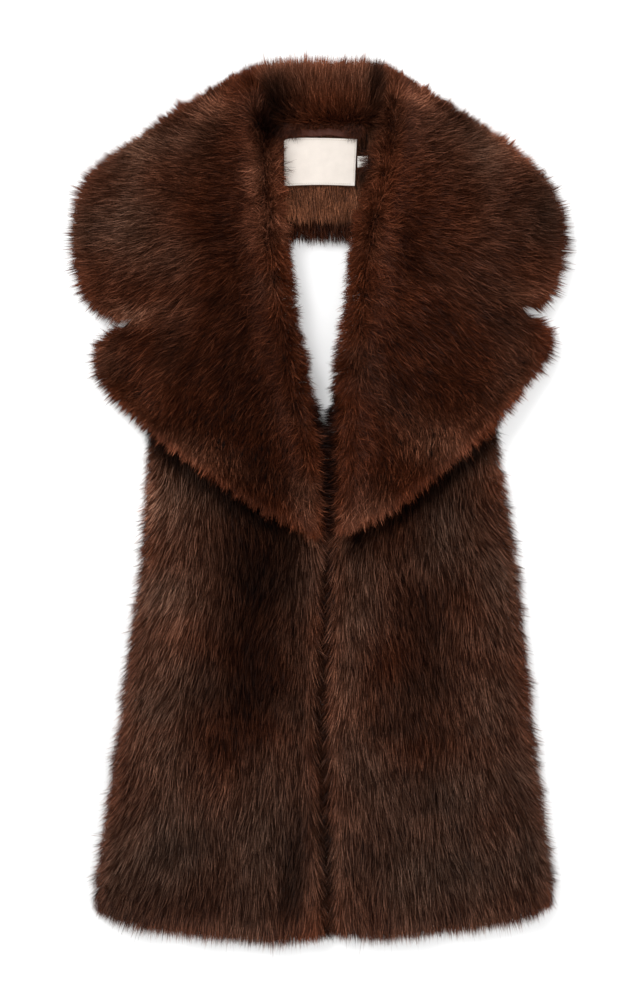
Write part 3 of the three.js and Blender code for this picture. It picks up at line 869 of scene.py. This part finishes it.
def combed(form, along, across, comb, surface, seed, draw):
    """Level directions of the hair, and how far each reaches across its inner edge. The comb's directions are turned
    by slow noise, by small locks and by each hair's chance."""
    down, out = form.growth(along, across)
    off_inner, reach = form.edges(along, across)[0]
    out_share, down_share = comb(along, across, off_inner)
    flat = out_share[:, None] * unit(out[:, :2]) + down_share[:, None] * unit(down[:, :2])
    flat /= np.maximum(np.linalg.norm(flat, axis=-1, keepdims=True), 1)
    turn = 0.07 * wander(surface, 45, seed + 1) + 0.03 * wander(surface, 9, seed + 2)
    turn += 0.13 * draw.standard_normal(len(along))
    if reach == COLLAR_NOSE:
        fuzz = 0.15 + 0.35 * (1 - smooth(off_inner, 8, ROLL_REACH))
        turn += fuzz * (draw.standard_normal(len(along)) + 0.6 * wander(surface, 12, seed + 8))
    x = flat[:, 0] * np.cos(turn) - flat[:, 1] * np.sin(turn)
    y = flat[:, 0] * np.sin(turn) + flat[:, 1] * np.cos(turn)
    return np.stack([x, y, np.zeros(len(along))], -1), CROSSING * np.clip(-out_share, 0, 1)


def small_locks(places):
    """The number of each hair's lock: the warped square that it stands in."""
    shift = np.stack([wander(places, 2 * LOCK, 5), wander(places, 2 * LOCK, 6)], -1)
    keys = np.floor((places[:, :2] + 0.5 * LOCK * shift) / LOCK).astype(np.int64)
    return np.unique(keys[:, 0] * 100_003 + keys[:, 1], return_inverse=True)[1]


def gather_tips(tips, lock, normal, edge, draw):
    """Tips drawn part of the way to the middle of their lock; at an edge only along it, so that they form spikes."""
    size = np.bincount(lock)
    middle = np.stack([np.bincount(lock, tips[:, k]) / size for k in range(3)], -1)
    pull = (LOCK_PULL + EDGE_PULL * edge) * draw.uniform(0.3, 1, len(size))[lock] * draw.uniform(0.4, 1, len(tips))
    toward = middle[lock] - tips
    outward = unit(normal * (1, 1, 0))
    toward -= (edge * (toward * outward).sum(-1))[:, None] * outward
    return tips + pull[:, None] * toward


def hair_lines(form, along, across, flat, crossing, length, guard, under, lock, seed, draw):
    """Root, middle and tip of each hair. It starts on the backing, rises steeply and then leans along the comb,
    so that its tip reaches the form's surface. At an edge that it points over, it reaches a little past; where it
    points away from an edge, most of it lies up and over the edge. Guard hairs are longer, and under hairs
    shorter and more upright. A few single hairs are much longer."""
    count = len(along)
    surface, normal, deep = form.place(along, across), form.normal(along, across), form.depth(along, across)
    edge = form.near_edge(along, across)
    against = (flat * normal).sum(-1)
    over = np.clip(against, 0, 1)
    lean = flat - against[:, None] * normal
    lies = (against < 0) & (draw.random(count) > STANDING_SHARE)
    lean[lies] = unit(lean[lies]) * np.linalg.norm(flat[lies], axis=-1, keepdims=True)
    lean[under] *= 0.3
    size = length * draw.uniform(0.7, 1.08, count) * np.where(guard, 1.15, 1.0)
    size *= np.where(draw.random(count) < SINGLE_SHARE, SINGLE_LENGTH, 1.0)
    rise = draw.uniform(0.62, 1.04, count) + 0.08 * wander(surface, 5, seed + 3)
    rise = np.where(guard, draw.uniform(0.95, 1.14, count), np.where(under, 0.86 * rise, rise)) * deep
    rise += OVERHANG * (over + 0.35 * edge) * draw.random(count) ** 3 + crossing * draw.random(count)
    rise += TUFT * edge * draw.random(lock.max() + 1)[lock] ** 2
    reach = np.sqrt(np.maximum(size**2 - rise**2, 9.0))
    root = surface - normal * deep[:, None]
    root[:, 2] = np.maximum(root[:, 2], LOWEST)
    up, away = normal * rise[:, None], lean * reach[:, None]
    tip = gather_tips(root + up + away, lock, normal, edge, draw)
    tip[:, 2] -= 0.12 * size * (1 - normal[:, 2])
    middle = root + 0.6 * up + 0.34 * (tip - root - up)
    return root, middle, tip, normal, edge


def ribbons(root, middle, tip, normal, width, draw):
    """A flat ribbon for each hair, pointed at the root and the tip, turned about its length by chance."""
    facing = normal + 0.5 * draw.standard_normal((len(root), 3))
    side = unit(np.cross(tip - root, facing)) * (0.5 * width * draw.uniform(0.7, 1.25, len(root)))[:, None]
    points = np.stack([root, middle - side, middle + side, tip], 1)
    points[..., 2] = np.maximum(points[..., 2], LOWEST)
    first = np.arange(len(root))[:, None] * HAIR_POINTS
    faces = np.concatenate([first + (0, 1, 2), first + (2, 1, 3)])
    return points.reshape(-1, 3), faces


def hair_object(name, slot, points, faces, chance, tones, lights):
    """A mesh of ribbons with its strands' UV map, tone and light."""
    piece = mesh_object(name, points, faces, FUR_MATERIALS[slot])
    up = np.tile([0.0, 0.45, 0.45, 1.0], len(chance))
    set_uv(piece, "strand", np.stack([np.repeat(chance, HAIR_POINTS), up], -1))
    set_value(piece, "tone", np.repeat(np.clip(tones, 0, 1), HAIR_POINTS))
    set_value(piece, "light", np.repeat(lights, HAIR_POINTS))
    return belongs(piece)


def grow(
    name, node, seed, count, length, width, comb, tone,
    light=1.0, rim_light=0.25, guard_share=0.1, under_share=0.0, shown=everywhere, painted_shade=no_painted_shade,
):
    """The hair of a piece as one joined mesh."""
    form, draw = FORMS[node], np.random.default_rng(SEED + seed)
    along, across = hair_places(form, count, shown, draw)
    surface = form.place(along, across)
    kind = draw.random(count)
    guard, under = kind < guard_share, kind > 1 - under_share
    lock = small_locks(surface)
    flat, crossing = combed(form, along, across, comb, surface, seed, draw)
    root, middle, tip, normal, edge = hair_lines(
        form, along, across, flat, crossing, length, guard, under, lock, seed, draw
    )
    wide = width * np.where(guard, 1.15, 0.95) * (1 + EDGE_WIDTH * edge)
    points, faces = ribbons(root, middle, tip, normal, wide, draw)
    chance = UNDERCOAT_CHANCE * (0.75 * draw.random(count) + 0.25 * draw.random(lock.max() + 1)[lock])
    chance = np.where(guard, UNDERCOAT_CHANCE + (1 - UNDERCOAT_CHANCE) * draw.random(count), chance)
    # Tone: the piece's own, the patches' and slow unevenness, more chestnut near rounded edges to go with the painted
    # rim light. Light: painted light and shade from the patches, a painted rim light near rounded edges, slow and
    # small unevenness, and the painted shade under the lapels and where the rolls meet.
    tones = tone + patch_sum(surface, PATCH_TONE) + 0.1 * wander(surface, 40, seed + 4) - 0.15 * edge
    lights = patch_sum(surface, PATCH_LIGHT) + rim_light * edge
    lights += 0.1 * wander(surface, 30, seed + 7) + 0.08 * wander(surface, 10, seed + 9)
    lights = light * np.exp(lights) * (1 - painted_shade(form, along, across, surface))
    return hair_object(name, SLOTS[node], points, faces, chance, tones, lights)


PANEL_MIDDLE = -190.0


def upper_front(rows):
    """The part of a front's visible fur that lies above the panel's middle."""
    shown = below_lapel(rows)
    return lambda places: shown(places) & (places[:, 1] >= PANEL_MIDDLE)


def lower_front(places):
    return places[:, 1] < PANEL_MIDDLE


LEFT_PILE = dict(
    length=22, width=0.34, comb=comb_front, tone=0.38, rim_light=0.4, guard_share=0.12,
    painted_shade=front_painted_shade(LAPEL_LEFT),
)
RIGHT_PILE = {**LEFT_PILE, "painted_shade": front_painted_shade(LAPEL_RIGHT)}
COLLAR_PILE = dict(
    length=20, width=0.41, comb=comb_lobe, tone=0.18, rim_light=0.4, guard_share=0.09, under_share=0.15,
)
LAPEL_PILE = dict(
    length=20, width=0.42, comb=comb_lapel, tone=0.1, rim_light=0.55, guard_share=0.06, under_share=0.15,
    painted_shade=lapel_painted_shade,
)
STAND_PILE = dict(length=24, width=0.42, comb=comb_up, tone=0.3, light=1.85, guard_share=0.05)
NECK_PILE = dict(width=0.4, comb=comb_down, tone=0.15, under_share=0.2, shown=inside_neck)
PILES = {
    "front_left": (
        grow("front_left_pile_top", "front_left", 100, 52_000, shown=upper_front(LAPEL_LEFT), **LEFT_PILE),
        grow("front_left_pile_low", "front_left", 120, 52_000, shown=lower_front, **LEFT_PILE),
    ),
    "front_right": (
        grow("front_right_pile_top", "front_right", 200, 52_000, shown=upper_front(LAPEL_RIGHT), **RIGHT_PILE),
        grow("front_right_pile_low", "front_right", 220, 52_000, shown=lower_front, **RIGHT_PILE),
    ),
    "collar_left": (grow("collar_left_pile", "collar_left", 300, 62_000, **COLLAR_PILE),),
    "collar_right": (grow("collar_right_pile", "collar_right", 400, 62_000, **COLLAR_PILE),),
    "lapel_left": (grow("lapel_left_pile", "lapel_left", 500, 48_000, **LAPEL_PILE),),
    "lapel_right": (grow("lapel_right_pile", "lapel_right", 600, 48_000, **LAPEL_PILE),),
    "collar_back": (grow("collar_back_pile", "collar_back", 700, 20_000, **STAND_PILE),),
    # The yoke's hair is painted half as light: painted shade where it lies lower, under the facing's edge
    "back_yoke": (grow("back_yoke_pile", "back_yoke", 800, 4_500, length=15, light=0.5, **NECK_PILE),),
    "back_facing": (grow("back_facing_pile", "back_facing", 900, 9_000, length=15, **NECK_PILE),),
}

# Single hairs that lie over the label, the tag and the loop: where they start (millimetres, with half sizes),
# the way they point in degrees and how much that varies, their length, and how many they are
STRAYS = (
    {"start": (-36, 280, 19), "half": (2, 7), "heading": -12, "spread": 18, "length": 17, "count": 22},
    {"start": (-36, 300, 19), "half": (2, 8), "heading": 25, "spread": 20, "length": 12, "count": 12},
    {"start": (47, 289, 20), "half": (3, 7), "heading": 185, "spread": 16, "length": 15, "count": 110},
    {"start": (4, 321, 21), "half": (30, 2), "heading": 268, "spread": 30, "length": 9, "count": 130},
    {"start": (-23, 318, 20), "half": (7, 5), "heading": 275, "spread": 30, "length": 10, "count": 230},
    {"start": (31, 318, 20), "half": (7, 5), "heading": 265, "spread": 30, "length": 10, "count": 230},
)


def stray_hairs(name, slot, rows, seed):
    """Single hairs: each goes level from its start, bends a little and comes down at the tip."""
    draw = np.random.default_rng(SEED + seed)
    count = sum(row["count"] for row in rows)
    column = {key: np.concatenate([[row[key]] * row["count"] for row in rows]) for key in rows[0]}
    level = column["half"] * draw.uniform(-1, 1, (count, 2))
    root = column["start"] + np.concatenate([level, draw.uniform(-1.5, 1.5, (count, 1))], 1)
    heading = np.radians(column["heading"] + column["spread"] * draw.standard_normal(count))
    length = column["length"] * draw.uniform(0.6, 1.15, count)
    bend = 0.35 * draw.standard_normal(count)
    middle = root + 0.5 * length[:, None] * np.stack([np.cos(heading), np.sin(heading), 0 * heading], -1)
    drop = -0.25 * np.ones(count)
    tip = middle + 0.5 * length[:, None] * np.stack([np.cos(heading + bend), np.sin(heading + bend), drop], -1)
    points, faces = ribbons(root, middle, tip, np.array([0, 0, 1.0]), 0.32, draw)
    chance = UNDERCOAT_CHANCE * draw.random(count)
    return hair_object(name, slot, points, faces, chance, np.full(count, 0.1), np.full(count, 1.1))


strays = stray_hairs("neck_stray_hairs", "collar_fur", STRAYS, 950)


# Label, size tag and hanging loop

def on_sheet(size, place, lift, shift, thick, u, v):
    """Points on top of a small sheet: level ones, moved in its plane by shift(u, v) and upwards by lift(u, v)."""
    dx, dy = shift(u, v)
    x = place[0] + size[0] * (u - 0.5) + dx
    y = place[1] + size[1] * (0.5 - v) + dy
    return np.stack([x, y, LAID_AT + thick + lift(u, v)], -1)


def laid_sheet(node, size, place, grid, lift, shift, material, thick):
    """A small sheet on the facing, as a grid over its two directions."""
    rows, columns = grid
    v, u = np.meshgrid(np.linspace(0, 1, rows), np.linspace(0, 1, columns), indexing="ij")
    points = on_sheet(size, place, lift, shift, thick, u, v).reshape(-1, 3)
    piece = mesh_object(node + "_cloth", points, grid_faces(rows, columns), material)
    set_uv(piece, "cloth", np.stack([size[0] * u, size[1] * v], -1).reshape(-1, 2))
    shade_smooth(piece)
    solidify(piece, thick)
    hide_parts(node)
    return belongs(piece)


def label_lift(u, v):
    """Corners that curl a little and a slow wave along the label."""
    return 0.9 * (2 * u - 1) ** 6 * (2 * v - 1) ** 4 + 0.25 * np.sin(5 * u + 2 * v) + 0.25


def label_shift(u, v):
    """A top edge that falls off at its corners, a bottom edge that rises in the middle, and a right edge that leans
    in toward the bottom."""
    top = -2.4 * np.exp(-u / 0.06) - 1.2 * u**3
    return -1.9 * u * v, top * (1 - v) + 1.0 * np.sin(math.pi * u) * v


def tag_lift(u, v):
    """The tag stands up in the middle, as it is folded over."""
    return 0.8 * np.sin(math.pi * u) * (0.6 + 0.4 * v)


def tag_shift(u, v):
    return 0 * u, 0.6 * u


def folded_tape(node, size, place, grid, thick, material):
    """A tape folded in two lengthwise: a flat oval section, carried along an arch between its sewn ends."""
    rows, columns = grid
    u, angle = np.meshgrid(np.linspace(0, 1, rows), np.linspace(0, 2 * math.pi, columns), indexing="ij")
    x = place[0] + size[0] * (u - 0.5)
    y = place[1] + 0.5 * size[1] * np.cos(angle) + 0.8 * np.sin(math.pi * u) + 0.5 * np.sin(13 * u)
    crease = 0.7 * np.sin(21 * u + 1.2 * np.cos(angle)) ** 2
    z = LAID_AT + thick * (0.5 + 0.5 * np.sin(angle)) + 1.2 * np.sin(math.pi * u) + crease
    points = np.stack([x, y, z], -1).reshape(-1, 3)
    piece = mesh_object(node + "_cloth", points, grid_faces(rows, columns, True), material)
    set_uv(piece, "cloth", np.stack([size[0] * u, 2 * size[1] * angle / (2 * math.pi)], -1).reshape(-1, 2))
    shade_smooth(piece)
    solidify(piece, 0.3)
    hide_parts(node)
    return belongs(piece)


def edge_stitches(name, size, place, lift, shift, thick, material):
    """Stitches round a sheet, a little inside its edge: small blocks on it, one after the other on each side."""
    around = []
    for side in range(4):
        wide = side % 2 == 0
        run = (size[0] if wide else size[1]) - 2 * STITCH_INSET
        along = STITCH_INSET + STITCH_PITCH * (0.5 + np.arange(int(run / STITCH_PITCH)))
        off = np.full_like(along, STITCH_INSET if side < 2 else (size[1] if wide else size[0]) - STITCH_INSET)
        around.append(np.stack([along, off, np.full_like(along, wide)] if wide else [off, along, 0 * along], -1))
    middle = np.concatenate(around)
    wide = middle[:, 2:] > 0
    half = np.where(wide, (STITCH_SIZE[0], STITCH_SIZE[1]), (STITCH_SIZE[1], STITCH_SIZE[0])) / 2
    corner = np.array([(-1, -1), (1, -1), (1, 1), (-1, 1)])
    flat = middle[:, None, :2] + half[:, None] * corner
    low = on_sheet(size, place, lift, shift, thick, flat[..., 0] / size[0], flat[..., 1] / size[1])
    points = np.concatenate([low, low + (0, 0, STITCH_SIZE[2])], 1)
    block = np.array([(3, 2, 1, 0), (4, 5, 6, 7), (0, 1, 5, 4), (1, 2, 6, 5), (2, 3, 7, 6), (3, 0, 4, 7)])
    faces = (8 * np.arange(len(points))[:, None, None] + block[:, ::-1]).reshape(-1, 4)
    return belongs(mesh_object(name, points.reshape(-1, 3), faces, material))


laid_sheet("label", LABEL_SIZE, LABEL_PLACE, (42, 63), label_lift, label_shift, label_cloth, LABEL_THICK)
edge_stitches(
    "label_stitches", LABEL_SIZE, LABEL_PLACE, label_lift, label_shift, LABEL_THICK, label_thread
)
laid_sheet("size_tag", TAG_SIZE, TAG_PLACE, (14, 14), tag_lift, tag_shift, tag_cloth, 0.45)
folded_tape("hanging_loop", LOOP_SIZE, LOOP_PLACE, (60, 17), 2.0, satin)


# Floor, light and camera

def make_floor():
    """A plain pale floor."""
    material, _, shader = new_material("floor_paper")
    shader.inputs["Base Color"].default_value = (0.92, 0.92, 0.92, 1)
    shader.inputs["Roughness"].default_value = 0.9
    corners = np.array([(-1, -1, 0), (1, -1, 0), (1, 1, 0), (-1, 1, 0)]) * FLOOR_HALF / MM
    mesh_object("floor", corners, np.array([[0, 1, 2, 3]]), material)


def add_light(name, place, size, power):
    """A square soft light that faces the wrap's middle."""
    lamp = bpy.data.lights.new(name, "AREA")
    lamp.shape = "SQUARE"
    lamp.size = size
    lamp.energy = power
    holder = bpy.data.objects.new(name, lamp)
    bpy.context.scene.collection.objects.link(holder)
    x, y, z = place
    holder.location = place
    holder.rotation_euler = (math.acos(z / math.hypot(x, y, z)), 0, math.atan2(y, x) + math.pi / 2)


def make_world(strength):
    world = bpy.data.worlds.new("studio")
    world.use_nodes = True
    background = world.node_tree.nodes["Background"]
    background.inputs["Color"].default_value = (1, 1, 1, 1)
    background.inputs["Strength"].default_value = strength
    bpy.context.scene.world = world


def make_camera():
    """Straight above the wrap, as the photograph is taken."""
    lens = bpy.data.cameras.new("camera")
    lens.lens = CAMERA_LENS
    lens.sensor_width = 36.0
    lens.clip_end = 50.0
    camera = bpy.data.objects.new("camera", lens)
    camera.location = (CAMERA_X, CAMERA_Y, CAMERA_HEIGHT)
    bpy.context.scene.collection.objects.link(camera)
    bpy.context.scene.camera = camera


make_floor()
make_world(0.55)
add_light("key", (-1.2, 1.5, 1.9), 1.2, 54)
add_light("fill", (1.6, -0.6, 1.8), 1.6, 23)
add_light("top", (0.0, 0.15, 2.6), 0.9, 18)
make_camera()
bpy.context.scene.view_settings.view_transform = "Standard"
